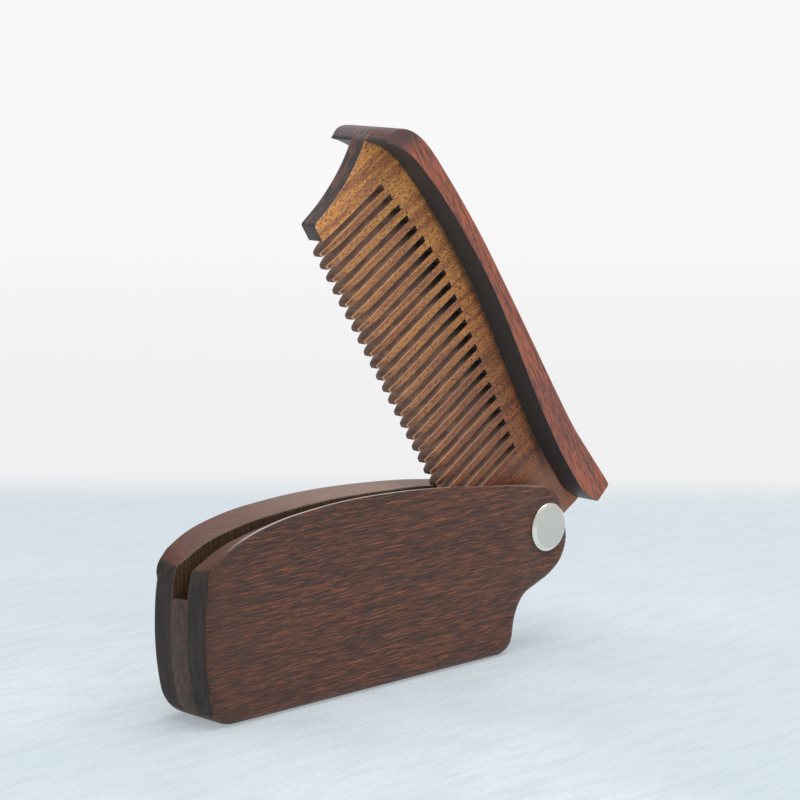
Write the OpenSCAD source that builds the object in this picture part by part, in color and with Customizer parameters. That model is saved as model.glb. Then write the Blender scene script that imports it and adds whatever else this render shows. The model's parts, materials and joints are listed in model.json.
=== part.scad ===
// Folding wooden beard comb: a toothed comb that swings out of a slotted handle on one rivet.
// X runs along the handle towards the pivot, Y from the front to the rear, Z up.
// The origin is the middle of the handle's flat lower edge.

/* [Handle] */
// Thickness of each outer wooden scale
scale_t = 5.3; // [4:0.1:7]
// Thickness of the spacer between the scales, which is the width of the slot
slot_t = 4.2; // [4:0.1:6]
// Radius of the rounding on the outer edges
edge_r = 2.4; // [0.8:0.1:2.5]
// Height of the pivot above the flat lower edge
pivot_h = 24.6; // [24.4:0.1:26]
// Distance of the pivot from the middle of the lower edge
pivot_x = 50; // [40:0.5:60]
// Depth of the slot below the pivot
slot_depth = 17.5; // [16.2:0.1:19]
// Drop of the spacer's left riser below the pivot
riser_drop = 1.2; // [0.5:0.1:6]
// Radius about the pivot at which the riser's inner wall stands
riser_r = 90.1; // [89.8:0.1:90.6]

/* [Comb] */
// Side gap between the toothed plate and each scale
side_gap = 0.2; // [0.1:0.05:0.4]
// Distance between the middles of neighbouring teeth
tooth_pitch = 3; // [2.8:0.05:3.05]
// Number of gaps between the teeth
gap_n = 23; // [10:1:23]
// Width of each gap
gap_w = 1.3; // [0.8:0.05:1.7]
// Position of the gap next to the pivot
last_gap_x = -16.4; // [-18:0.1:-16]
// Distance of the tooth tips below the pivot when folded
tip_drop = 15.6; // [15:0.1:16]
// Length over which each tooth tapers to its rounded tip
taper_l = 5.6; // [3:0.1:8]

/* [Hinge] */
// Angle from the drawn folded position to the stored pose
open_angle = 56.4; // [0:0.2:180]
// Radius of the rivet's barrel
barrel_r = 2.5; // [2:0.1:3]
// Radius of the pin inside the barrel
pin_r = 1.6; // [1:0.1:1.8]
// Radial clearance of the barrel in the wood
barrel_play = 0.05; // [0.02:0.01:0.1]
// Radius of the rivet's cap where it meets the wood
cap_r = 4.95; // [4:0.05:5.5]
// Height of the cap above the wood
cap_h = 0.6; // [0.4:0.1:1.2]
// Width of the cap's sloping rim
cap_rim = 0.65; // [0.3:0.05:1]
// Outer radius of the washers beside the plate
washer_r = 5; // [4:0.1:6]

/* [Hidden] */

slot_half = slot_t / 2;
body_half = slot_half + scale_t;
plate_half = slot_half - side_gap;
strip_t = body_half - plate_half;
boss_r = 6.3;
barrel_wall_end = 0.4;
pin_gap = 0.02;
washer_seat = 0.02;
far = 200;
curve_step = 2.6;
round_steps = 5;
bore_fn = 64;

scale_color = "#4d3127";
spacer_color = "#6b4632";
plate_color = "#a9743c";
strip_color = "#7a3c26";
metal_color = "#c4c4c0";

// Curves. Every outline below is in the pivot's own plane, pivot at [0, 0], points [x, height],
// and runs anticlockwise as seen from the front.

// Points of an arc from angle a to angle b
function arc(centre, r, a, b) =
    let (n = max(3, ceil(abs(b - a) / 14)))
    [for (k = [0:n]) centre + r * [cos(a + (b - a) * k / n), sin(a + (b - a) * k / n)]];

// Direction of a smooth curve at its point i, weighted by the chords on both sides
function heading(p, i) =
    i == 0 ? (p[1] - p[0]) / norm(p[1] - p[0])
    : i == len(p) - 1 ? (p[i] - p[i - 1]) / norm(p[i] - p[i - 1])
    : let (a = norm(p[i] - p[i - 1]), b = norm(p[i + 1] - p[i]))
      ((p[i] - p[i - 1]) * b / a + (p[i + 1] - p[i]) * a / b) / (a + b);

// One cubic piece between points i and i + 1, at parameter u
function piece(p, i, u) =
    let (c = norm(p[i + 1] - p[i]))
    (1 + 2 * u) * (1 - u) * (1 - u) * p[i] + u * (1 - u) * (1 - u) * c * heading(p, i)
    + u * u * (3 - 2 * u) * p[i + 1] - u * u * (1 - u) * c * heading(p, i + 1);

// Smooth curve through the given points, leaving out both of its ends
function curve(p) =
    [for (i = [0:len(p) - 2])
        let (n = max(2, ceil(norm(p[i + 1] - p[i]) / curve_step)))
        for (k = [0:n - 1])
            if (i > 0 || k > 0) piece(p, i, k / n)];

function last(p) = p[len(p) - 1];

// Outward unit normal of a closed outline at its point i
function outward(p, i) =
    let (a = p[(i + len(p) - 1) % len(p)], b = p[i], c = p[(i + 1) % len(p)])
    let (d = (b - a) / norm(b - a) + (c - b) / norm(c - b))
    [d.y, -d.x] / norm(d);

// Handle outline: rounded lower corners, notch and nose at the pivot, arched top,
// convex left end
lower_left = arc([-83.6, -pivot_h + 7], 7, 188, 270);
lower_right = arc([-13.3, -pivot_h + 4.3], 4.3, 270, 355);
upper_left = arc([-88.17, 2.59], 2.6, 119, 167);
nose_and_top = [last(lower_right), [-8.4, -17.3], [-6.1, -13.6], [-2.2, -11.9], [1.4, -10.5],
                [5.2, -7.6], [6.8, -3.6], [6.3, 0.2], [4.2, 5], [0.4, 8.1], [-5.6, 9.2],
                [-20, 10.6], [-35, 11.9], [-50, 12.3], [-64, 11.6], [-76, 10.1], [-84, 7.8],
                upper_left[0]];
left_end = [last(upper_left), [-91.35, -0.5], [-91.7, -6], [-91.4, -13], lower_left[0]];
handle_outline = concat(lower_left, lower_right, curve(nose_and_top), upper_left, curve(left_end));

// Handle outline with its top moved outward by the given amounts
function moved_top(moves) =
    [for (i = [0:len(handle_outline) - 1])
        handle_outline[i].y < upper_left[0].y - 2.5 ? handle_outline[i]
        : handle_outline[i] + moves[i] * outward(handle_outline, i)];

// The top slopes up from the slot to the outer face
function slot_dip(x) =
    lookup(x, [[-90, 0], [-84, -0.25], [-67, -0.4], [-60, -0.5], [-45, -0.9], [-36, -0.9],
               [-27, -0.6], [-12, -0.6], [0, -0.3], [5, 0]]);
slot_outline = moved_top([for (p = handle_outline) slot_dip(p.x)]);
function top_rise(x) =
    lookup(x, [[-91, 0.3], [-88, 1.5], [-82, 1.7], [-67, 1.65], [-60, 1.55], [-45, 1.1],
               [-27, 0.75], [-8, 0.1], [-4, 0]]);
face_outline = moved_top([for (p = handle_outline) top_rise(p.x)]);

// Spine outline: outer back shared by the plate and the strips, and the strips' inner edge
spine_heel = [5.2, 19.2];
beak = [-92.4, 4.8];
spine_back = [spine_heel, [0.9, 18.7], [-5.4, 17.9], [-11.4, 17.2], [-20, 16.9], [-35, 16.8],
              [-50, 16.6], [-62, 16.3], [-73.6, 15.4], [-79, 14.8], [-84, 14.1], [-87, 13.3],
              [-89.6, 12], [-92, 9.7], [-93.1, 7.2], beak];
strip_inner = [beak, [-91.4, 5.7], [-86.6, 8.8], [-79.4, 10.7], [-71, 12], [-60, 12.95],
               [-50.5, 13.2], [-42, 12.8], [-30, 11.9], [-18, 11.2], [-10, 11.15], [-3, 11.6],
               [1.5, 12.2], [4.4, 13.6], [5.8, 14.6], spine_heel];
strip_outline = concat([beak], curve(strip_inner), [spine_heel], curve(spine_back));

// Plate outline: guard at the far end, tips, heel, round boss at the pivot, spine end
// The guard ends a little above the tooth tips
guard_drop = 1.4;
guard_foot = arc([-86.5, -tip_drop + guard_drop + 0.6], 0.6, 180, 270);
first_gap_x = last_gap_x - (gap_n - 1) * tooth_pitch;
guard_step = [[first_gap_x, -tip_drop + guard_drop], [first_gap_x, -tip_drop]];
heel_foot = arc([-12.9, -tip_drop + 2], 2, 270, 330);
boss = arc([0, 0], boss_r, 270, 362);
plate_outline = concat(
    guard_foot, guard_step, heel_foot,
    curve([last(heel_foot), [-8.4, -10.6], [-4.8, -7], boss[0]]),
    boss,
    curve([last(boss), [5.7, 9.2], [5.8, 14.6], spine_heel]),
    [spine_heel], curve(spine_back), [beak],
    curve([beak, [-90.3, 0.6], [-88.7, -4], [-87.6, -9], guard_foot[0]]));

// Height of the closed end of a gap, highest a little beyond the middle of the comb
function root_z(x) =
    lookup(x, [[-82.4, 4.1], [-70.4, 6.9], [-64.4, 8.1], [-61.4, 8.5], [-58.4, 8.6], [-52.4, 8.4],
               [-40.4, 7.6], [-16.4, 5.4]]);

// Half width of a tooth at height z above its tip
function tooth_half(z) =
    (tooth_pitch - gap_w) / 2 * sqrt(max(0, 1 - pow(max(0, 1 - z / taper_l), 3)));

// Gap between two teeth: parallel sides that flare round the two tips
module gap(root) {
    flank = [for (k = [0:8]) let (z = taper_l * k / 8) [tooth_pitch / 2 - tooth_half(z), z - tip_drop]];
    foot = [[tooth_pitch / 2, -tip_drop - 1]];
    right = concat(foot, flank, [[gap_w / 2, root]]);
    left = [for (k = [len(right) - 1:-1:0]) [-right[k].x, right[k].y]];
    polygon(concat(right, left));
}

// Rings of points up the side of a slab, from a near outline at z = 0 to a far outline whose
// edge at z = t is rounded
function rounded_rings(near, far_outline, t) = concat(
    [[for (p = near) [p.x, p.y, 0]]],
    [for (k = [0:round_steps])
        let (a = 90 * k / round_steps)
        [for (i = [0:len(far_outline) - 1])
            let (q = far_outline[i] - edge_r * (1 - cos(a)) * outward(far_outline, i))
            [q.x, q.y, t - edge_r * (1 - sin(a))]]]);

// Triangles between ring j and ring j2, each of n points
function ring_band(j, j2, n) =
    [for (i = [0:n - 1])
        let (i2 = (i + 1) % n)
        each [[j * n + i, j2 * n + i, j2 * n + i2], [j * n + i, j2 * n + i2, j * n + i2]]];

// Rounded rim alone, open in the middle where the flat core of a slab goes
module rounded_rim(near, far_outline, core, t) {
    n = len(near);
    rings = concat(rounded_rings(near, far_outline, t), [[for (p = core) [p.x, p.y, 0]]]);
    m = len(rings);
    sides = [for (j = [0:m - 1]) each ring_band(j, (j + 1) % m, n)];
    polyhedron([for (ring = rings) each ring], sides, convexity = 10);
}

// Stands a drawing of the pivot's plane upright, growing towards the front from depth y
module upright(y) {
    translate([pivot_x, y, pivot_h]) rotate([90, 0, 0]) children();
}

// Swings a folded piece out to its stored angle about the pivot
module opened() {
    translate([pivot_x, 0, pivot_h]) rotate([0, open_angle, 0]) translate([-pivot_x, 0, -pivot_h]) children();
}

// Hinge hole through a wooden layer
module hinge_hole() {
    translate([0, 0, -far / 2]) cylinder(h = far, r = barrel_r + barrel_play, $fn = bore_fn);
}

// One scale in front of the slot: flat drilled core inside a rounded rim
module scale_slab() {
    core = [for (i = [0:len(face_outline) - 1]) face_outline[i] - edge_r * outward(face_outline, i)];
    upright(-slot_half) {
        rounded_rim(slot_outline, face_outline, core, scale_t);
        difference() {
            linear_extrude(scale_t) polygon(core);
            hinge_hole();
        }
    }
}

module front_scale() {
    color(scale_color) scale_slab();
}

module rear_scale() {
    color(scale_color) mirror([0, 1, 0]) scale_slab();
}

// Middle layer: bar below the slot and a riser up the left end
module handle_spacer() {
    color(spacer_color) upright(slot_half) linear_extrude(slot_t) difference() {
        polygon(handle_outline);
        intersection() {
            circle(r = riser_r, $fn = 360);
            translate([-far, -slot_depth]) square([2 * far, far]);
        }
        translate([-far, -riser_drop]) square([2 * far, far]);
    }
}

// Toothed plate of the comb
module comb_plate() {
    color(plate_color) opened() upright(plate_half) difference() {
        linear_extrude(2 * plate_half) difference() {
            polygon(plate_outline);
            for (i = [0:gap_n - 1])
                let (x = last_gap_x - i * tooth_pitch)
                translate([x, 0]) gap(root_z(x));
        }
        hinge_hole();
    }
}

// One strip of the spine, in front of the plate
module strip_slab() {
    upright(-plate_half) linear_extrude(strip_t) polygon(strip_outline);
}

module front_spine_strip() {
    color(strip_color) opened() strip_slab();
}

module rear_spine_strip() {
    color(strip_color) opened() mirror([0, 1, 0]) strip_slab();
}

// Turns a profile of [radius, depth] about the hinge axis, depth measured towards the rear
module turned(profile) {
    translate([pivot_x, 0, pivot_h]) rotate([-90, 0, 0]) rotate_extrude($fn = bore_fn) polygon(profile);
}

// Front half of the rivet: cap and hollow barrel
module rivet_post() {
    color(metal_color) turned([
        [0, -body_half - cap_h],
        [cap_r - cap_rim, -body_half - cap_h],
        [cap_r, -body_half],
        [barrel_r, -body_half],
        [barrel_r, body_half - barrel_wall_end],
        [pin_r + pin_gap, body_half - barrel_wall_end],
        [pin_r + pin_gap, -body_half + cap_h],
        [0, -body_half + cap_h]]);
}

// Rear half of the rivet: cap and the pin that is pressed into the barrel
module rivet_pin() {
    color(metal_color) turned([
        [0, -body_half + 2 * cap_h],
        [pin_r, -body_half + 2 * cap_h],
        [pin_r, body_half],
        [cap_r, body_half],
        [cap_r - cap_rim, body_half + cap_h],
        [0, body_half + cap_h]]);
}

// Thin washer beside the plate
module washer(y) {
    color(metal_color) turned([
        [barrel_r + barrel_play, y],
        [washer_r, y],
        [washer_r, y + side_gap - washer_seat],
        [barrel_r + barrel_play, y + side_gap - washer_seat]]);
}

module front_washer() {
    washer(-slot_half);
}

module rear_washer() {
    washer(plate_half + washer_seat);
}

front_scale();
rear_scale();
handle_spacer();
rivet_post();
rivet_pin();
front_washer();
rear_washer();
comb_plate();
front_spine_strip();
rear_spine_strip();
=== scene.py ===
import json
import math

import bmesh
import bpy
from mathutils import Matrix, Vector


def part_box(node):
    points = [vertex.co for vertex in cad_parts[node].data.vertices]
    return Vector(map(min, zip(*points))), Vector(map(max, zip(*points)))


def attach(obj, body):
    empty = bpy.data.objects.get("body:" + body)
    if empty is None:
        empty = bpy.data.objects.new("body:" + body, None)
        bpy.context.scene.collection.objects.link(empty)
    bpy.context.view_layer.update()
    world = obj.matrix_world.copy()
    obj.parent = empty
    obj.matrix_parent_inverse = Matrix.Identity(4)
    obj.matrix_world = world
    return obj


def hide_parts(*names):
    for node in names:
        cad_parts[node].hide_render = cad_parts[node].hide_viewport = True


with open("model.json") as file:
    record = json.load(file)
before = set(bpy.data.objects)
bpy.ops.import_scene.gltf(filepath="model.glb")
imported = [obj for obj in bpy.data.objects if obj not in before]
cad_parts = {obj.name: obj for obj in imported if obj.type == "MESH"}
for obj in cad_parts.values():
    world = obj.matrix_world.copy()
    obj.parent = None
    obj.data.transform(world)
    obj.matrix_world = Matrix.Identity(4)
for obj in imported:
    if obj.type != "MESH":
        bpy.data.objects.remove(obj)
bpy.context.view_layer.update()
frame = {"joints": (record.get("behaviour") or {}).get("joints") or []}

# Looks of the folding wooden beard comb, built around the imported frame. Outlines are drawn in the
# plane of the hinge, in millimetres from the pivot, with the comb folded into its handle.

MM = 0.001
TINY = 0.001                   # in millimetres; anything closer counts as the same place
PIVOT = Vector(frame["joints"][0]["pos_m"])
OPEN = math.radians(56.4)      # turn from the drawn folded position to the frame's
SWING = Matrix.Translation(PIVOT) @ Matrix.Rotation(OPEN, 4, "Y") @ Matrix.Translation(-PIVOT)


# ---------------------------------------------------------------- sizes, in millimetres

STEP = 0.9            # spacing of the points along a curve
EDGE = 2.4            # rounding of the outer edges of the wood
WORN = 0.55           # rounding of the spine's outer edges
ARRIS = 0.16          # tiny rounding of the inner edges
CAP_MARGIN = 0.12     # narrow frame inside each flat face, which keeps its shading flat
CAP_CORNERS = 40      # a flat face of a slab has more corners than this
FLOOR_DROP = (PIVOT.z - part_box("front_scale")[0].z) / MM
FACE = -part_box("front_scale")[0].y / MM          # half the thickness of the handle
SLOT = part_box("handle_spacer")[1].y / MM         # half the width of the slot
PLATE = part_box("comb_plate")[1].y / MM           # half the thickness of the comb plate
SLOT_FLOOR = -17.5    # height of the slot's floor
SLOT_END = 90.1       # radius of the closed end of the slot
RISER_TOP = -1.2      # height of the spacer's riser at the left end
TIP = -15.6           # height of the tips of the teeth
GUARD_DROP = 1.4      # how much shorter the guard is than the teeth
PITCH = 3             # from tooth to tooth
GAPS = 23
GAP = 1.3             # width of a gap at its closed end
LAST_GAP = -16.4      # middle of the gap nearest the pivot
FIRST_GAP = LAST_GAP - (GAPS - 1) * PITCH
TAPER = 5.6           # height over which a tooth narrows to its tip
TIP_R = 0.55          # radius of a tooth's tip
THIN_TIP = 0.3        # thickness of a tooth at its tip, as a share of the plate's
TOOTH_EDGE = 0.42     # rounding of the edges of the teeth
CAP_R = 4.95          # radius of the rivet's caps
CAP_H = 0.6
CAP_RIM = 0.65        # width of the sloped rim of a cap
BARREL_R = 2.5
PIN_R = 1.6
BARREL_WALL_END = 0.5     # how far the barrel stops short of the rear face
WASHER_R = 5
SCALE_BORE = 2.5
PLATE_BORE = 2.55


# ---------------------------------------------------------------- outlines

def arc(centre, radius, start, end, step=7):
    """Points of an arc between two angles in degrees."""
    count = max(3, math.ceil(abs(end - start) / step))
    angles = [math.radians(start + (end - start) * k / count) for k in range(count + 1)]
    return [Vector((centre[0] + radius * math.cos(a), centre[1] + radius * math.sin(a))) for a in angles]


def heading(points, i):
    """Direction of a smooth curve at point i, weighted by the chords on both sides."""
    if i == 0:
        return (points[1] - points[0]).normalized()
    if i == len(points) - 1:
        return (points[i] - points[i - 1]).normalized()
    before, after = points[i] - points[i - 1], points[i + 1] - points[i]
    a, b = before.length, after.length
    return (before * (b / a) + after * (a / b)) / (a + b)


def curve(points):
    """Smooth curve through the given points, leaving out both of its ends."""
    points = [Vector(p) for p in points]
    headings = [heading(points, i) for i in range(len(points))]
    made = []
    for i in range(len(points) - 1):
        chord = (points[i + 1] - points[i]).length
        count = max(2, math.ceil(chord / STEP))
        for k in range(count):
            u = k / count
            if i or k:
                made.append((1 + 2 * u) * (1 - u) ** 2 * points[i]
                            + u * (1 - u) ** 2 * chord * headings[i]
                            + u * u * (3 - 2 * u) * points[i + 1]
                            - u * u * (1 - u) * chord * headings[i + 1])
    return made


def eased(before, corner, after, reach):
    """Points that round a corner, starting and ending at a reach from it."""
    before, corner, after = Vector(before), Vector(corner), Vector(after)
    first = corner + (before - corner).normalized() * reach
    last = corner + (after - corner).normalized() * reach
    return [(1 - u) ** 2 * first + 2 * u * (1 - u) * corner + u * u * last
            for u in (0, 0.17, 0.33, 0.5, 0.67, 0.83, 1)]


def between(x, stops):
    """Straight interpolation in a list of (place, value) stops."""
    if x <= stops[0][0]:
        return stops[0][1]
    for (x0, y0), (x1, y1) in zip(stops, stops[1:]):
        if x <= x1:
            return y0 + (y1 - y0) * (x - x0) / (x1 - x0)
    return stops[-1][1]


def outward(points, i):
    """Outward direction of a closed outline at its point i."""
    before, here, after = points[i - 1], points[i], points[(i + 1) % len(points)]
    along = (here - before).normalized() + (after - here).normalized()
    return Vector((along.y, -along.x)).normalized()


# Handle: rounded lower corners, notch and nose at the pivot, arched top, convex left end
lower_left = arc((-83.6, 7 - FLOOR_DROP), 7, 188, 270)
lower_right = arc((-13.3, 4.3 - FLOOR_DROP), 4.3, 270, 355)
upper_left = arc((-88.17, 2.59), 2.6, 119, 167)
nose_and_top = [lower_right[-1], (-8.4, -17.3), (-6.1, -13.6), (-2.2, -11.9), (1.4, -10.5),
                (5.2, -7.6), (6.8, -3.6), (6.3, 0.2), (4.2, 5), (0.4, 8.1), (-5.6, 9.2),
                (-20, 10.6), (-35, 11.9), (-50, 12.3), (-64, 11.6), (-76, 10.1), (-84, 7.8),
                upper_left[0]]
left_end = [upper_left[-1], (-91.35, -0.5), (-91.7, -6), (-91.4, -13), lower_left[0]]
HANDLE = lower_left + lower_right + curve(nose_and_top) + upper_left + curve(left_end)

# The top of each side slopes up from the slot to the face. Stops along x: outward shift of the edge
# at the face, outward shift of the edge at the slot, softness of the edge at the face, which is
# crisp in front and rounder behind. CRISP_END is the softness down the left end, stops along z.
TOP_STARTS = upper_left[0].y - 2.5
TOP_RISE = [(-91, 0.3), (-88, 1.5), (-82, 1.7), (-67, 1.65), (-60, 1.55), (-45, 1.1), (-27, 0.75),
            (-8, 0.1), (-4, 0)]
SLOT_DIP = [(-90, 0), (-84, -0.3), (-76, -0.6), (-60, -0.8), (-45, -0.9), (-36, -0.9), (-27, -0.6),
            (-12, -0.6), (0, -0.3), (5, 0)]
FRONT_TOP = [(-90, 0.4), (-78, 0.16), (-60, 0.1), (-12, 0.1), (2, 0.5), (6, 1)]
REAR_TOP = [(-90, 0.4), (-80, 0.55), (-60, 0.8), (6, 1)]
CRISP_END = [(-24.6, 1), (-18, 0.5)]

# Spacer: the handle's lower border, a floor for the slot and a riser up the left end
slot_foot_x = -math.sqrt(SLOT_END ** 2 - SLOT_FLOOR ** 2)
slot_end_low = math.degrees(math.atan2(SLOT_FLOOR, slot_foot_x)) + 360
slot_end_high = 180 + math.degrees(math.asin(-RISER_TOP / SLOT_END))
SPACER = ([Vector((-91.39, RISER_TOP))] + [p for p in curve(left_end) if p.y < RISER_TOP - 0.2]
          + lower_left + lower_right + [Vector((-8.43, SLOT_FLOOR))]
          + arc((0, 0), SLOT_END, slot_end_low, slot_end_high, 2))

# Spine: the outer back shared by the plate and the strips, and the strips' inner edge
SPINE_HEEL = Vector((5.2, 19.2))
BEAK = Vector((-92.4, 4.8))
spine_back = [SPINE_HEEL, (0.9, 18.7), (-5.4, 17.9), (-11.4, 17.2), (-20, 16.9), (-35, 16.8),
              (-50, 16.6), (-62, 16.3), (-73.6, 15.4), (-79, 14.8), (-84, 14.1), (-87, 13.3),
              (-89.6, 12), (-92, 9.7), (-93.1, 7.2), BEAK]
strip_inner = [BEAK, (-91.4, 5.7), (-86.6, 8.8), (-79.4, 10.7), (-71, 12), (-60, 12.95),
               (-50.5, 13.2), (-42, 12.8), (-30, 11.9), (-18, 11.2), (-10, 11.15), (-3, 11.6),
               (1.5, 12.2), (4.4, 13.6)]
STRIP_TOE = Vector((5.9, 14.4))
TOE = eased((4.4, 13.6), STRIP_TOE, SPINE_HEEL, 0.7)
HEEL = eased(STRIP_TOE, SPINE_HEEL, (0.9, 18.7), 0.9)
BACK = [p for p in curve(spine_back) if p.x < HEEL[-1].x - 0.2]

# Height of the closed end of a gap between teeth
ROOTS = [(-82.4, 4.1), (-70.4, 6.9), (-64.4, 8.1), (-61.4, 8.5), (-58.4, 8.6), (-52.4, 8.4),
         (-40.4, 7.6), (-16.4, 5.4)]


# ---------------------------------------------------------------- mesh tools

def place(x, z, y):
    """Point of the hinge plane at depth y, all in millimetres, as a point of the frame in metres."""
    return Vector((PIVOT.x + x * MM, y * MM, PIVOT.z + z * MM))


def slab(outline, y_low, y_high, leans=None):
    """Straight-sided slab of an outline, whose points are (x, z, softness of the edge there).
    leans are shifts of the points at y_low and at y_high, in millimetres of the hinge plane."""
    bm = bmesh.new()
    softness = bm.verts.layers.float.new("softness")
    shift = bm.verts.layers.float_vector.new("shift")
    for x, z, soft in outline:
        vert = bm.verts.new(place(x, z, y_low))
        vert[softness] = soft
    ring = list(bm.verts)
    for vert, pair in zip(ring, leans or []):
        vert[shift] = Vector((pair[1].x, 0, pair[1].y)) * MM
    face = bm.faces.new(ring)
    made = bmesh.ops.extrude_face_region(bm, geom=[face])["geom"]
    moved = [v for v in made if isinstance(v, bmesh.types.BMVert)]
    bmesh.ops.translate(bm, verts=moved, vec=(0, (y_high - y_low) * MM, 0))
    for vert in moved:
        vert.co += vert[shift]
    for vert, pair in zip(ring, leans or []):
        vert.co += Vector((pair[0].x, 0, pair[0].y)) * MM
    bmesh.ops.recalc_face_normals(bm, faces=bm.faces)
    return bm


def with_softness(points, soft):
    """The same softness at every point of an outline."""
    return [(p[0], p[1], soft) for p in points]


def soften(bm, width, segments, near, far):
    """Rounds the border edges of a slab. near and far scale the softness at its two depths."""
    softness = bm.verts.layers.float["softness"]
    weight = bm.edges.layers.float.new("bevel_weight_edge")
    depths = [v.co.y for v in bm.verts]
    low, high = min(depths), max(depths)
    for edge in bm.edges:
        a, b = edge.verts
        if abs(a.co.y - b.co.y) < MM * TINY * 10:
            share = near if abs(a.co.y - low) < abs(a.co.y - high) else far
            edge[weight] = min(1, share * (a[softness] + b[softness]) / 2)
    mesh = bpy.data.meshes.new("soft")
    bm.to_mesh(mesh)
    bm.free()
    thing = bpy.data.objects.new("soft", mesh)
    bpy.context.scene.collection.objects.link(thing)
    rounding = thing.modifiers.new("rounding", "BEVEL")
    rounding.limit_method = "WEIGHT"
    rounding.width = width * MM
    rounding.segments = segments
    rounding.use_clamp_overlap = False
    made = bmesh.new()
    made.from_object(thing, bpy.context.evaluated_depsgraph_get())
    bpy.data.objects.remove(thing)
    return made


def frame_caps(bm, margin=CAP_MARGIN):
    """Puts a narrow frame inside each large flat face."""
    caps = [f for f in bm.faces if len(f.verts) > CAP_CORNERS]
    for cap in caps:
        bmesh.ops.inset_region(bm, faces=[cap], thickness=margin * MM,
                               use_even_offset=False)


def bore(bm, radius):
    """Round hole along the hinge axis through both flat faces of a slab."""
    depths = [v.co.y for v in bm.verts]
    rims = []
    for y in (min(depths), max(depths)):
        flat = [f for f in bm.faces if all(abs(v.co.y - y) < MM * TINY for v in f.verts)]
        cap = max(flat, key=lambda f: f.calc_area())
        border = list(cap.edges)
        bmesh.ops.delete(bm, geom=[cap], context="FACES_ONLY")
        turn = Matrix.Translation((PIVOT.x, y, PIVOT.z)) @ Matrix.Rotation(math.pi / 2, 4, "X")
        ring = bmesh.ops.create_circle(bm, radius=radius * MM, segments=48, matrix=turn)["verts"]
        rim = list({e for v in ring for e in v.link_edges})
        rims += rim
        bmesh.ops.triangle_fill(bm, edges=border + rim, use_beauty=True)
    bmesh.ops.bridge_loops(bm, edges=rims)
    bmesh.ops.recalc_face_normals(bm, faces=bm.faces)


def turned(profile):
    """Solid turned about the hinge axis from a profile of (radius, depth) in millimetres."""
    bm = bmesh.new()
    verts = [bm.verts.new((PIVOT.x + r * MM, y * MM, PIVOT.z)) for r, y in profile]
    edges = [bm.edges.new(pair) for pair in zip(verts, verts[1:] + verts[:1])
             if pair[0].co.x + pair[1].co.x > 2 * PIVOT.x + MM * TINY]
    bmesh.ops.spin(bm, geom=verts + edges, cent=PIVOT, axis=(0, 1, 0), angle=math.tau,
                   steps=72, use_merge=True)
    bmesh.ops.remove_doubles(bm, verts=bm.verts, dist=MM * TINY)
    bmesh.ops.recalc_face_normals(bm, faces=bm.faces)
    return bm


def mark(mesh, name, measure):
    """Marks every point of a mesh with a measure of its normal, at least 0, for the materials."""
    layer = mesh.attributes.new(name, "FLOAT", "POINT")
    for k, vert in enumerate(mesh.vertices):
        layer.data[k].value = max(0, measure(vert.normal))


def piece(bm, node, body, material, swing=False, mirrored=False):
    """Makes a piece that stands for a CAD node, swings it out with the comb and hands it on."""
    if mirrored:
        bmesh.ops.scale(bm, vec=(1, -1, 1), verts=bm.verts)
        bmesh.ops.recalc_face_normals(bm, faces=bm.faces)
    mesh = bpy.data.meshes.new(node)
    bm.to_mesh(mesh)
    bm.free()
    mark(mesh, "wall", lambda normal: 1 - abs(normal.y))
    mark(mesh, "left", lambda normal: -normal.x)
    mark(mesh, "top", lambda normal: normal.z)
    if swing:
        mesh.transform(SWING)
    mesh.shade_smooth()
    mesh.materials.append(material)
    shaped = bpy.data.objects.new(node + "_shaped", mesh)
    bpy.context.scene.collection.objects.link(shaped)
    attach(shaped, body)
    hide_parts(node)
    return shaped


# ---------------------------------------------------------------- material tools

def hue(red, green, blue):
    """Linear colour of a paint given as red, green and blue from 0 to 255."""
    def linear(value):
        share = value / 255
        return share / 12.92 if share <= 0.04045 else ((share + 0.055) / 1.055) ** 2.4
    return (linear(red), linear(green), linear(blue), 1)


class Value:
    """A number that varies over a surface; arithmetic on it adds the nodes."""

    def __init__(self, finish, socket):
        self.finish = finish
        self.socket = socket

    def worked_out(self, operation, first, second):
        return self.finish.node("ShaderNodeMath", {"operation": operation}, {0: first, 1: second})

    def __add__(self, other):
        return self.worked_out("ADD", self, other)

    def __radd__(self, other):
        return self.worked_out("ADD", other, self)

    def __sub__(self, other):
        return self.worked_out("SUBTRACT", self, other)

    def __rsub__(self, other):
        return self.worked_out("SUBTRACT", other, self)

    def __mul__(self, other):
        return self.worked_out("MULTIPLY", self, other)

    def __rmul__(self, other):
        return self.worked_out("MULTIPLY", other, self)


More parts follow.
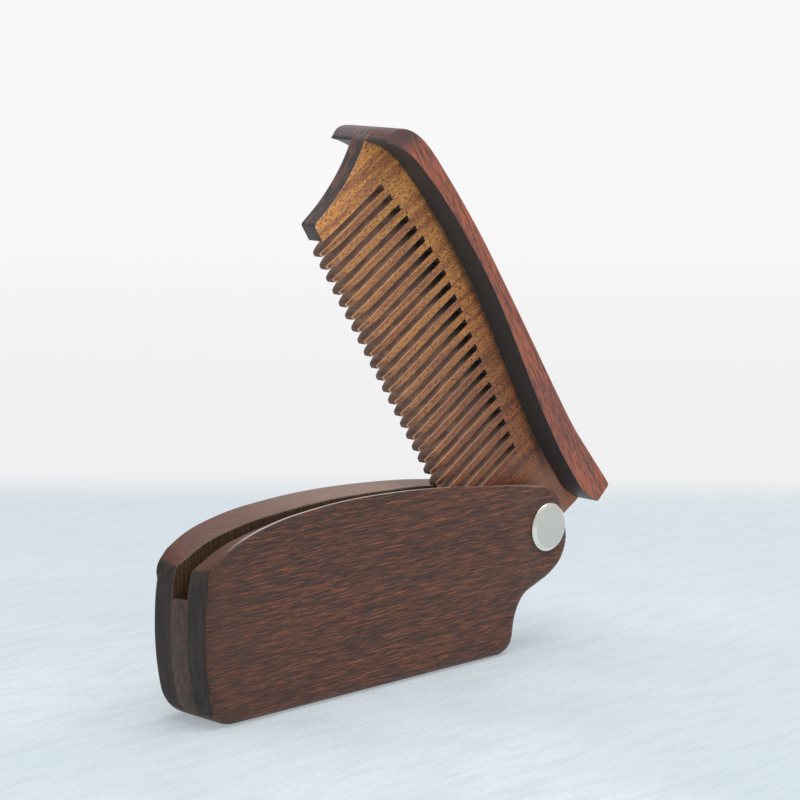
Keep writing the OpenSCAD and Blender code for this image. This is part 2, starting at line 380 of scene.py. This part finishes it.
class Finish:
    """One procedural material, whose other nodes all come from node()."""

    def __init__(self, name):
        self.material = bpy.data.materials.new(name)
        self.material.use_nodes = True
        self.tree = self.material.node_tree
        self.shader = self.tree.nodes["Principled BSDF"]
        self.where = self.node("ShaderNodeTexCoord", output="Object")

    def node(self, kind, settings=None, inputs=None, output=0):
        """A node of a type, with its settings made first and then its inputs set or linked."""
        made = self.tree.nodes.new(kind)
        for name, setting in (settings or {}).items():
            setattr(made, name, setting)
        self.feed(made, inputs or {})
        return Value(self, made.outputs[output])

    def feed(self, node, inputs):
        """Sets or links sockets of a node."""
        for name, given in inputs.items():
            if isinstance(given, Value):
                self.tree.links.new(given.socket, node.inputs[name])
            else:
                node.inputs[name].default_value = given

    def turned_place(self, centre=(0, 0, 0), angle=0, cell=(1, 1, 1), source=None):
        """Coordinates measured from a centre, turned about Y and divided into cells."""
        return self.node("ShaderNodeMapping", {"vector_type": "TEXTURE"},
                         {"Vector": source or self.where, "Location": centre,
                          "Rotation": (0, angle, 0), "Scale": cell})

    def grain(self, cell, source=None, angle=0, seed=0, detail=2, distortion=0):
        """Noise whose cells have the given length, depth and height in millimetres."""
        shift = (seed * 0.013, seed * 0.007, seed * 0.011)
        cells = self.turned_place(shift, angle, [c * MM for c in cell], source)
        return self.node("ShaderNodeTexNoise", None,
                         {"Vector": cells, "Scale": 1, "Detail": detail, "Distortion": distortion})

    def rise(self, value, low, high):
        """0 below low, 1 above high and smooth between."""
        return self.node("ShaderNodeMapRange", {"interpolation_type": "SMOOTHSTEP"},
                         {"Value": value, "From Min": low, "From Max": high})

    def fall(self, value, low, high):
        """1 below low, 0 above high and smooth between."""
        return self.node("ShaderNodeMapRange", {"interpolation_type": "SMOOTHSTEP"},
                         {"Value": value, "From Min": low, "From Max": high, "To Min": 1, "To Max": 0})

    def mix(self, share, first, second, blend="MIX"):
        """Colour between two colours."""
        return self.node("ShaderNodeMix", {"data_type": "RGBA", "blend_type": blend},
                         {0: share, 6: first, 7: second}, output=2)

    def size(self, value):
        """A value without its sign."""
        return self.node("ShaderNodeMath", {"operation": "ABSOLUTE"}, {0: value})

    def mark(self, name):
        """A mark that the piece's own mesh carries."""
        return self.node("ShaderNodeAttribute", {"attribute_name": name}, output="Fac")

    def axes(self, source):
        """The three coordinates of a place in millimetres."""
        return [self.node("ShaderNodeSeparateXYZ", None, {0: source}, output=k) * (1 / MM)
                for k in range(3)]

    def finish(self, colour, roughness, height=None, relief=0.05, **constants):
        """Wires up the shader. height is in parts of relief, which is in millimetres."""
        self.feed(self.shader, {"Base Color": colour, "Roughness": roughness})
        self.feed(self.shader, {name.replace("_", " "): given for name, given in constants.items()})
        if height:
            bump = self.node("ShaderNodeBump", None,
                             {"Height": height, "Distance": relief * MM, "Strength": 1})
            self.feed(self.shader, {"Normal": bump})
        return self.material


# ---------------------------------------------------------------- materials

def scale_face(f, streak, fleck, pore, tilt):
    """Dark wood with orange flecks and black pores along the grain."""
    broad = f.grain((45, 9, 5), angle=tilt, seed=1)
    base = f.mix(f.rise(broad, 0.35, 0.68), hue(74, 43, 32), hue(92, 54, 36))
    base = f.mix(f.rise(streak, 0.48, 0.64) * 0.4, base, hue(124, 72, 44))
    base = f.mix(f.rise(fleck, 0.5, 0.6) * (0.15 + 0.85 * streak), base, hue(182, 100, 56))
    return f.mix(f.rise(pore, 0.47, 0.58) * 0.8, base, hue(42, 31, 31))


def scale_top(f, base, x, y, top, up):
    """The sloped top: a painted sheen, lighter towards the pivot, and a painted highlight, a pale line
    along the front edge.
    """
    # Painted sheen: the upward faces of the top are lightened as a reflection, more so towards the
    # pivot.
    painted_sheen = f.mix(f.rise(x, -40, 20), hue(92, 46, 34), hue(172, 146, 134))
    base = f.mix(up * 0.7, base, painted_sheen)
    # Painted highlight: a pale thin line along the top of the front side.
    painted_highlight_line = f.rise(top, 0.2, 0.4) * f.fall(top, 0.8, 0.95) * f.fall(y, -7.2, -6.8)
    painted_highlight_line = painted_highlight_line * f.rise(x, -38, -26) * f.fall(x, 4, 24)
    return f.mix(painted_highlight_line * 0.8, base, hue(232, 226, 220))


def dark_scale_wood():
    """Dark oiled hardwood with a plain end grain that also carries painted shade, painted sheen and
    highlight on the top, and upright saw marks inside the slot.
    """
    f = Finish("dark_scale_wood")
    tilt = math.radians(-1.5)
    streak = f.grain((14, 3, 0.6), angle=tilt, seed=2, detail=3)
    fleck = f.grain((3.4, 1, 0.1), angle=tilt, seed=3, detail=3, distortion=0.12)
    pore = f.grain((3.8, 1, 0.12), angle=tilt, seed=4, detail=3, distortion=0.1)
    x, y, _ = f.axes(f.where)
    base = scale_face(f, streak, fleck, pore, tilt)
    base = f.mix(f.fall(x, -44, -18) * 0.35, base, hue(58, 36, 29))
    top = f.mark("top")
    up = f.rise(top, 0.5, 0.9)
    base = scale_top(f, base, x, y, top, up)
    # The left-facing end is end grain, darker in its own colour and also darkened as painted shade for
    # the side that gets less light.
    end = f.rise(f.mark("left"), 0.62, 0.8)
    end_grain_and_shade = f.mix(f.rise(f.grain((1, 1.4, 6), seed=5), 0.4, 0.65), hue(42, 33, 30), hue(58, 46, 40))
    colour = f.mix(end, base, end_grain_and_shade)
    upright = f.mix(f.rise(f.grain((0.35, 2, 7), seed=6), 0.35, 0.65), hue(70, 52, 40), hue(104, 80, 60))
    colour = f.mix(f.fall(f.size(y), SLOT + 0.1, SLOT + 0.4), colour, upright)
    roughness = 0.44 + 0.14 * pore - 0.14 * up * f.rise(x, -30, 10) + 0.2 * end
    return f.finish(colour, roughness, height=fleck - 0.7 * pore, relief=0.02)


def spacer_wood():
    """Middle layer of the handle, with its mottled end grain showing."""
    f = Finish("spacer_wood")
    mottle = f.grain((2.2, 0.9, 1.6), seed=6, detail=3)
    fine = f.grain((0.8, 0.35, 0.5), seed=7)
    colour = f.mix(f.rise(mottle, 0.4, 0.62), hue(66, 48, 42), hue(90, 60, 46))
    colour = f.mix(f.rise(fine, 0.52, 0.7) * 0.5, colour, hue(60, 48, 44))
    return f.finish(colour, 0.5 + 0.1 * fine, height=fine, relief=0.03)


def comb_face(f, x, band, thread, dash):
    """Golden bands, orange threads and short dark dashes, all redder near the pivot."""
    near = f.rise(x, -80, -8)
    gold = f.mix(near, hue(242, 166, 92), hue(176, 110, 74))
    brown = f.mix(near, hue(190, 120, 74), hue(138, 84, 62))
    orange = f.mix(near, hue(255, 178, 72), hue(206, 120, 64))
    dark = f.mix(near, hue(98, 56, 46), hue(72, 44, 38))
    colour = f.mix(f.rise(band, 0.38, 0.62), brown, gold)
    colour = f.mix(f.rise(thread, 0.52, 0.66) * 0.65, colour, orange)
    return f.mix(f.rise(dash, 0.5, 0.62) * 0.85, colour, dark)


def comb_wear(f, colour, x, z, teeth, side):
    """Darker band along the foot of the spine, darker teeth with a painted highlight along their edges,
    and a lighter heel.
    """
    spine_middle = x + 50.5
    # Darker band on the plate along the foot of the spine.
    spine_foot_band = f.fall(13 - spine_middle * spine_middle * 0.0016 - z, 0.2, 1.7)
    colour = f.mix(spine_foot_band * 0.7, colour, hue(62, 48, 42))
    colour = f.mix(teeth * f.fall(z, 2, 8) * 0.3, colour, hue(116, 66, 42))
    colour = f.mix(teeth * f.fall(z, TIP + 0.8, TIP + 3.5) * 0.55, colour, hue(84, 46, 32))
    # Painted highlight: bright thin lines along the rounded edges of the teeth, fading towards the
    # roots.
    painted_edge_highlight = f.rise(side, 0.12, 0.22) * f.fall(side, 0.3, 0.5) * f.fall(z, 4, 9)
    colour = f.mix(painted_edge_highlight * 0.5, colour, hue(255, 216, 182))
    return f.mix(f.rise(x, -12, -2) * 0.5, colour, hue(210, 138, 100))


def sawn_wall(f, x, z, teeth, thread):
    """Walls of the gaps, with painted shade at their closed ends, and dark at the tips of the teeth."""
    sawn = f.mix(f.rise(thread, 0.42, 0.6), hue(140, 112, 98), hue(180, 142, 118))
    # Painted shade: the walls darken towards the closed ends of the gaps.
    sawn = f.mix(f.rise(z, 1, 6.5) * f.fall(x, -14, -11), sawn, hue(48, 40, 36))
    return f.mix(teeth * f.fall(z, TIP + 0.5, TIP + 2.5) * 0.7, sawn, hue(64, 44, 36))


def comb_wood():
    """Golden wood with its grain along the teeth, sawn in the gaps and burnt on the guard's end."""
    f = Finish("comb_wood")
    folded = f.turned_place(PIVOT, OPEN)
    x, _, z = f.axes(folded)
    tilt = math.radians(4)
    dash = f.grain((0.22, 1, 0.85), folded, tilt, seed=1, detail=2, distortion=0.3)
    band = f.grain((1.3, 3, 20), folded, tilt, seed=2, detail=3)
    thread = f.grain((0.3, 2, 7), folded, tilt, seed=3, detail=2)
    side = f.mark("wall")
    wall = f.rise(side, 0.45, 0.9)
    teeth = f.rise(x, FIRST_GAP - 0.8, FIRST_GAP - 0.4) * f.fall(x, LAST_GAP + 0.4, LAST_GAP + 3.4)
    colour = comb_wear(f, comb_face(f, x, band, thread, dash), x, z, teeth, side)
    along = f.grain((9, 0.5, 2), folded, seed=6)
    bare = f.mix(f.rise(along, 0.4, 0.6), hue(92, 80, 80), hue(126, 104, 98))
    sawn = sawn_wall(f, x, z, teeth, thread)
    colour = f.mix(wall, colour, f.mix(f.rise(z, 9, 10), sawn, bare))
    guard = wall * f.fall(x, FIRST_GAP - 1.2, FIRST_GAP - 0.8)
    reddish = f.rise(f.grain((3, 1, 3.4), folded, seed=5), 0.46, 0.62)
    burnt = f.mix(reddish * 0.8, hue(58, 52, 54), hue(116, 76, 66))
    colour = f.mix(guard, colour, f.mix(f.rise(z, 4.5, 6), burnt, bare))
    return f.finish(colour, 0.42 + 0.15 * dash, height=thread - dash, relief=0.025)


def spine_wood():
    """Red wood of the spine with wavy purple-brown streaks, nearly black inner walls that face the
    teeth, and a painted sheen on its back.
    """
    f = Finish("spine_wood")
    folded = f.turned_place(PIVOT, OPEN)
    x, y, _ = f.axes(folded)
    tilt = math.radians(3)
    wave = f.grain((11, 0.9, 0.5), folded, tilt, seed=1, detail=4, distortion=0.6)
    fibre = f.grain((2.4, 0.3, 0.16), folded, tilt, seed=2, detail=3, distortion=0.3)
    broad = f.grain((30, 6, 4), folded, tilt, seed=3)
    colour = f.mix(f.rise(broad, 0.35, 0.65), hue(146, 84, 70), hue(182, 98, 68))
    colour = f.mix(f.rise(wave, 0.47, 0.6) * 0.75, colour, hue(98, 64, 62))
    colour = f.mix(f.rise(fibre, 0.5, 0.64) * 0.6, colour, hue(206, 116, 78))
    colour = f.mix(f.fall(fibre, 0.36, 0.48) * 0.6, colour, hue(66, 44, 46))
    # Painted sheen: the back of the spine, where it faces up, is greyed as a reflection, most strongly
    # near the beak.
    top = f.rise(f.mark("back"), 0.4, 0.8)
    colour = f.mix(top * (0.35 + 0.5 * f.fall(x, -84, -72)), colour, hue(112, 104, 106))
    front_beak = f.fall(x, -90, -86) * f.rise(-1 * y, 1.9, 2.2)
    rear_beak = f.fall(x, -90.5, -87) * f.rise(y, 1.9, 2.2)
    colour = f.mix(front_beak * 0.8, colour, hue(74, 64, 66))
    colour = f.mix(rear_beak * 0.85, colour, hue(98, 94, 97))
    # The inner walls, which face the teeth, are coloured nearly black.
    colour = f.mix(f.rise(f.mark("inner"), 0.3, 0.7), colour, hue(62, 64, 66))
    return f.finish(colour, 0.4 + 0.12 * fibre, height=fibre, relief=0.02)


def rivet_metal():
    """Satin nickel with very fine turning marks, glossier on the polished rim of the caps, where a
    painted highlight also brightens the colour.
    """
    f = Finish("rivet_metal")
    cloud = f.grain((2.4, 2.4, 2.4), seed=1)
    speck = f.grain((0.3, 0.3, 0.3), seed=2)
    flat = f.turned_place(PIVOT, 0, (MM, 1, MM))
    radius = f.node("ShaderNodeVectorMath", {"operation": "LENGTH"}, {0: flat}, output="Value")
    rim = f.rise(radius, CAP_R - CAP_RIM - 0.15, CAP_R - CAP_RIM)
    face = f.mix(cloud, hue(216, 213, 204), hue(226, 223, 214))
    # Painted highlight: the rim of each cap is brighter in colour.
    colour = f.mix(rim, face, hue(242, 240, 232))
    return f.finish(colour, 0.4 + 0.1 * speck - 0.22 * rim, height=speck, relief=0.002, Metallic=1.0)


def washer_metal():
    """Plain brass shim."""
    f = Finish("washer_metal")
    cloud = f.grain((1.5, 1.5, 1.5), seed=3)
    colour = f.mix(cloud, hue(150, 132, 96), hue(176, 156, 112))
    return f.finish(colour, 0.35 + 0.15 * cloud, Metallic=1.0)


# ---------------------------------------------------------------- the handle

def scale(node, material, crisp_top, mirrored):
    """One rounded side of the handle, made as the front one and mirrored for the rear."""
    outline, leans = [], []
    for i, p in enumerate(HANDLE):
        top = p.y > TOP_STARTS
        soft = between(p.x, crisp_top) if top else between(p.y, CRISP_END) if p.x < -60 else 1
        outline.append((p.x, p.y, soft))
        away = outward(HANDLE, i) * (1 if top else 0)
        leans.append((away * between(p.x, TOP_RISE), away * between(p.x, SLOT_DIP)))
    bm = soften(slab(outline, -FACE, -SLOT, leans), EDGE, 8, 1, ARRIS / EDGE)
    frame_caps(bm)
    bore(bm, SCALE_BORE)
    piece(bm, node, "handle", material, mirrored=mirrored)


def spacer(material):
    """Bar below the slot with its riser."""
    bm = soften(slab(with_softness(SPACER, 1), -SLOT, SLOT), 0.1, 2, 1, 1)
    frame_caps(bm)
    piece(bm, "handle_spacer", "handle", material)


def capped(height, side):
    """Profile points of a rivet cap with a sloped rim, from its foot to its middle."""
    rim = CAP_R - CAP_RIM
    soft = 0.12
    return [(CAP_R, side * FACE), (CAP_R, side * (FACE + soft / 2)),
            (CAP_R - soft, side * (FACE + soft)),
            (rim + soft, side * (FACE + height - soft / 2)),
            (rim, side * (FACE + height - soft / 6)), (rim - soft, side * (FACE + height)),
            (rim - 0.6, side * (FACE + height)), (0, side * (FACE + height))]


def rivet(material):
    """Barrel with its cap in front, and the pin with its cap behind."""
    wall_end = FACE - BARREL_WALL_END
    post = capped(CAP_H, -1)[::-1] + [(BARREL_R, -FACE), (BARREL_R, wall_end), (PIN_R, wall_end),
                                      (PIN_R, -FACE + CAP_H), (0, -FACE + CAP_H)]
    piece(turned(post), "rivet_post", "handle", material)
    stem_r = PIN_R - 0.02
    stem = [(0, -FACE + 2 * CAP_H), (stem_r, -FACE + 2 * CAP_H), (stem_r, FACE)] + capped(CAP_H, 1)
    piece(turned(stem), "rivet_pin", "handle", material)


def washers(material):
    """Thin shims that fill the play between the plate and the two sides."""
    for node, side in (("front_washer", -1), ("rear_washer", 1)):
        ring = [(SCALE_BORE, side * PLATE), (WASHER_R, side * PLATE),
                (WASHER_R, side * SLOT), (SCALE_BORE, side * SLOT)]
        piece(turned(ring), node, "handle", material)


# ---------------------------------------------------------------- the comb

def tooth_half(z):
    """Half width of a tooth at a height above its tip, beyond the round tip."""
    full = (PITCH - GAP) / 2
    share = min(1, max(0, (z - TIP_R) / (TAPER - TIP_R)))
    return TIP_R + (full - TIP_R) * math.sin(share * math.pi / 2)


def tooth_softness(z, root):
    """The edges of a tooth are crisp at its root and full below."""
    return between(root - z, [(0, 0.12), (3, 0.35), (8, 0.75), (13, 1)])


def flank(x, side, root):
    """Side of a gap from its root down to the tip of the tooth on that side."""
    heights = [TAPER * k / 4 for k in range(1, 5)]
    heights += [root - TIP - d for d in (9, 5, 2, 0.6)]
    down = [(x + side * (PITCH / 2 - tooth_half(z)), z + TIP) for z in sorted(heights, reverse=True)]
    tip_x = x + side * PITCH / 2
    turn = arc((tip_x, TIP + TIP_R), TIP_R, 180 if side > 0 else 360, 270, 18)
    down = [(x + side * GAP / 2, root)] + down + [tuple(p) for p in turn]
    return [(px, pz, tooth_softness(pz, root)) for px, pz in down]


def plate_outline():
    """Round the plate: guard foot, teeth, heel, boss, the spine's end and back, guard end."""
    guard_foot = arc((-86.5, TIP + GUARD_DROP + 0.6), 0.6, 180, 270)
    heel_foot = arc((-12.9, TIP + 2), 2, 270, 330)
    boss = arc((0, 0), 6.3, 270, 362)
    teeth = []
    for i in reversed(range(GAPS)):
        x = LAST_GAP - i * PITCH
        root = between(x, ROOTS)
        rising = flank(x, -1, root)[::-1]
        if not teeth:
            foot = TIP + GUARD_DROP
            rising = [(px, pz, 0.3) for px, pz, _ in rising if pz > foot + 0.3]
            rising = [(x - 0.9, foot, 0.3)] + rising
        falling = flank(x, 1, root)
        teeth += rising + falling[:-1]
    hip = curve([heel_foot[-1], (-8.4, -10.6), (-4.8, -7), boss[0]])
    waist = curve([boss[-1], (5.7, 9.2), STRIP_TOE, HEEL[0]])
    guard = curve([BEAK, (-90.3, 0.6), (-88.7, -4), (-87.6, -9), guard_foot[0]])
    heel = [(p.x, p.y, 1 - 0.5 * k / (len(heel_foot) - 1)) for k, p in enumerate(heel_foot)]
    waist = [(p.x, p.y, 0.5 - 0.44 * k / len(waist)) for k, p in enumerate(waist)]
    return (with_softness(guard_foot, 0.3) + teeth + heel + with_softness(hip + boss, 0.5)
            + waist + with_softness(HEEL + BACK + [BEAK], 0.06)
            + with_softness(guard, 0.3))


def thin_teeth(bm):
    """Thins the teeth towards their round tips, leaving the guard and the heel alone."""
    levels = [0.2, 0.6, 1.2, 2, 3, 4.2, TAPER]
    for level in levels:
        geom = bm.verts[:] + bm.edges[:] + bm.faces[:]
        bmesh.ops.bisect_plane(bm, geom=geom, dist=MM * TINY / 10, plane_co=place(0, TIP + level, 0),
                               plane_no=(0, 0, 1))
    first, last = place(FIRST_GAP, 0, 0).x, place(LAST_GAP, 0, 0).x
    for vert in bm.verts:
        height = (vert.co.z - PIVOT.z) / MM - TIP
        if height < TAPER and first < vert.co.x < last:
            share = max(0, height / TAPER)
            vert.co.y *= THIN_TIP + (1 - THIN_TIP) * math.sqrt(1 - (1 - share) ** 2)


def comb_plate(material):
    """The toothed plate."""
    bm = soften(slab(plate_outline(), -PLATE, PLATE), TOOTH_EDGE, 3, 1, 1)
    frame_caps(bm, 0.06)
    thin_teeth(bm)
    bore(bm, PLATE_BORE)
    piece(bm, "comb_plate", "comb", material, swing=True)


def strip_outline():
    """Round a strip of the spine: crisp inner edge, worn back that turns crisp at the beak."""
    toe = [(p.x, p.y, 0.2 + 0.07 * k) for k, p in enumerate(TOE)]
    heel = [(p.x, p.y, 0.62 + 0.06 * k) for k, p in enumerate(HEEL)]
    back = [(p.x, p.y, min(0.98, 0.2 + (p - BEAK).length / 12)) for p in BACK]
    return with_softness([BEAK] + curve(strip_inner + [TOE[0]]), 0.2) + toe + heel + back


def strip(node, material, mirrored):
    """One strip of the spine; the rear one mirrors the front one."""
    bm = soften(slab(strip_outline(), -FACE, -PLATE), WORN, 5, 1, 0.1)
    frame_caps(bm)
    made = piece(bm, node, "comb", material, swing=True, mirrored=mirrored)
    up = SWING.to_3x3() @ Vector((0, 0, 1))
    mark(made.data, "inner", lambda normal: -normal.dot(up))
    mark(made.data, "back", lambda normal: normal.dot(up))


# ---------------------------------------------------------------- stage, light and camera

VIEW_AZIMUTH = math.radians(45.211)
VIEW_ELEVATION = math.radians(9.536)
VIEW_ROLL = math.radians(0.474)
VIEW_DISTANCE = 546.49
VIEW_LENS = 121.79
VIEW_ASIDE = (29.99, -25.657)     # how far the pivot's front lies right of and above the middle
TABLE_END = 0.67                  # metres from the camera where the cloth gives way to white
back = Vector((-math.sin(VIEW_AZIMUTH) * math.cos(VIEW_ELEVATION),
               -math.cos(VIEW_AZIMUTH) * math.cos(VIEW_ELEVATION), math.sin(VIEW_ELEVATION)))


def camera():
    """Camera in front of the left end of the handle, a little above it."""
    right = Vector((math.cos(VIEW_AZIMUTH), -math.sin(VIEW_AZIMUTH), 0))
    up = back.cross(right)
    tilted_right = math.cos(VIEW_ROLL) * right + math.sin(VIEW_ROLL) * up
    tilted_up = -math.sin(VIEW_ROLL) * right + math.cos(VIEW_ROLL) * up
    data = bpy.data.cameras.new("camera")
    data.sensor_width = 36
    data.lens = VIEW_LENS
    data.clip_start = 0.01
    data.clip_end = 20
    thing = bpy.data.objects.new("camera", data)
    bpy.context.scene.collection.objects.link(thing)
    seat = (place(0, 0, -FACE) - VIEW_ASIDE[0] * MM * tilted_right - VIEW_ASIDE[1] * MM * tilted_up
            + VIEW_DISTANCE * MM * back)
    turn = Matrix((tilted_right, tilted_up, back)).transposed().to_4x4()
    thing.matrix_world = Matrix.Translation(seat) @ turn
    bpy.context.scene.camera = thing
    return seat


def cloth_and_white(seat):
    """Material of the floor: pale blue cloth, then white, by the distance from the camera."""
    f = Finish("floor")
    away = f.turned_place(seat.xy.to_3d(), 0)
    away = f.node("ShaderNodeVectorMath", {"operation": "DOT_PRODUCT"},
                  {0: away, 1: (-back.xy.to_3d().normalized())}, output="Value")
    weave = f.grain((0.9, 0.9, 0.9), seed=1, detail=3)
    thread = f.grain((14, 3, 3), seed=3, detail=4)
    cloud = f.grain((60, 60, 60), seed=2)
    near = f.mix(f.rise(cloud, 0.35, 0.65), hue(208, 219, 226), hue(219, 229, 234))
    blue = f.mix(f.rise(away, 0.45, TABLE_END), near, hue(206, 215, 221))
    cloth = f.mix(f.rise(thread, 0.4, 0.7) * 0.4, blue, hue(196, 207, 215))
    cloth = f.mix(f.rise(weave, 0.45, 0.7) * 0.3, cloth, hue(190, 202, 211))
    beyond = f.rise(away, TABLE_END, TABLE_END + 0.05)
    white = f.mix(f.rise(away, 0.75, 1.4), hue(240, 240, 240), hue(248, 248, 248))
    black = (0, 0, 0, 1)
    # The cloth glows with a share of its own colour, painted light that weakens the shadows on it;
    # beyond the cloth the white glows alone.
    glow = f.mix(beyond, f.mix(0.45, black, cloth), white)
    return f.finish(f.mix(beyond, f.mix(0.4, cloth, black), black), 1.0, height=weave,
                    relief=0.12, Emission_Color=glow, Emission_Strength=1.0,
                    Specular_IOR_Level=0.0)


def floor(seat):
    """Table and backdrop in one sheet."""
    bm = bmesh.new()
    bmesh.ops.create_grid(bm, x_segments=2, y_segments=2, size=6)
    mesh = bpy.data.meshes.new("floor")
    bm.to_mesh(mesh)
    bm.free()
    mesh.materials.append(cloth_and_white(seat))
    thing = bpy.data.objects.new("floor", mesh)
    bpy.context.scene.collection.objects.link(thing)


def lights():
    """Soft overhead panel and an even white surround."""
    world = bpy.data.worlds.new("surround")
    world.use_nodes = True
    world.node_tree.nodes["Background"].inputs["Color"].default_value = (1, 1, 1, 1)
    world.node_tree.nodes["Background"].inputs["Strength"].default_value = 0.6
    bpy.context.scene.world = world
    panel = bpy.data.lights.new("panel", "AREA")
    panel.shape = "RECTANGLE"
    panel.size = 1.2
    panel.size_y = 1.2
    panel.energy = 9.5
    thing = bpy.data.objects.new("panel", panel)
    thing.location = (0.25, -0.1, 1.1)
    aim = Vector((0, 0, 0)) - thing.location
    thing.rotation_mode = "QUATERNION"
    thing.rotation_quaternion = aim.to_track_quat("-Z", "Y")
    bpy.context.scene.collection.objects.link(thing)
    bpy.context.scene.view_settings.view_transform = "Standard"


# ---------------------------------------------------------------- everything together

scale_wood = dark_scale_wood()
scale("front_scale", scale_wood, FRONT_TOP, False)
scale("rear_scale", scale_wood, REAR_TOP, True)
spacer(spacer_wood())
rivet(rivet_metal())
washers(washer_metal())
comb_plate(comb_wood())
red_wood = spine_wood()
strip("front_spine_strip", red_wood, False)
strip("rear_spine_strip", red_wood, True)
floor(camera())
lights()
